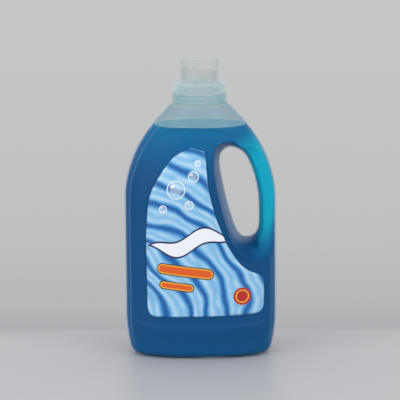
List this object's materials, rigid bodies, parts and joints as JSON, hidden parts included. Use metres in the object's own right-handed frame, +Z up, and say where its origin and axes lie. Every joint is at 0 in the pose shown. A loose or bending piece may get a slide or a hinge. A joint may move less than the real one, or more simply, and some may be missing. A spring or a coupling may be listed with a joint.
{
  "type": "laundry detergent bottle",
  "caption": "Translucent blown bottle of blue washing gel with a through handle, a drain-back pour spout and a clear screw-on dosing cap.",
  "frame": {"origin": "centre of the base, on the surface it stands on", "axes": "+Z up through the cap, -Y out of the front label, +X towards the handle"},
  "size_m": [0.1403, 0.0784, 0.276],
  "materials": {
    "bottle_wall": "satin translucent polyethylene",
    "gel": "clear blue gel",
    "spout": "natural polypropylene",
    "closure": "clear polypropylene, fine ribs on the skirt",
    "label_film": "printed gloss film"
  },
  "bodies": {
    "bottle": {"bottle": "bottle_wall", "gel_fill": "gel", "pour_spout": "spout", "front_label": "label_film", "back_label": "label_film"},
    "band": {"tamper_band": "closure"},
    "cap": {"dosing_cap": "closure"}
  },
  "joints": [
    {"name": "band_turn", "type": "hinge", "parent": "bottle", "child": "band", "pos_m": [0, 0, 0.24], "axis": [0, 0, 1], "range_deg": [0, 450]},
    {"name": "cap_lift", "type": "slide", "parent": "band", "child": "cap", "axis": [0, 0, 1], "range_m": [0, 0.0063]}
  ],
  "couplings": [
    {"joint": "cap_lift", "follows": "band_turn", "m_per_rad": 0.00079577}
  ]
}
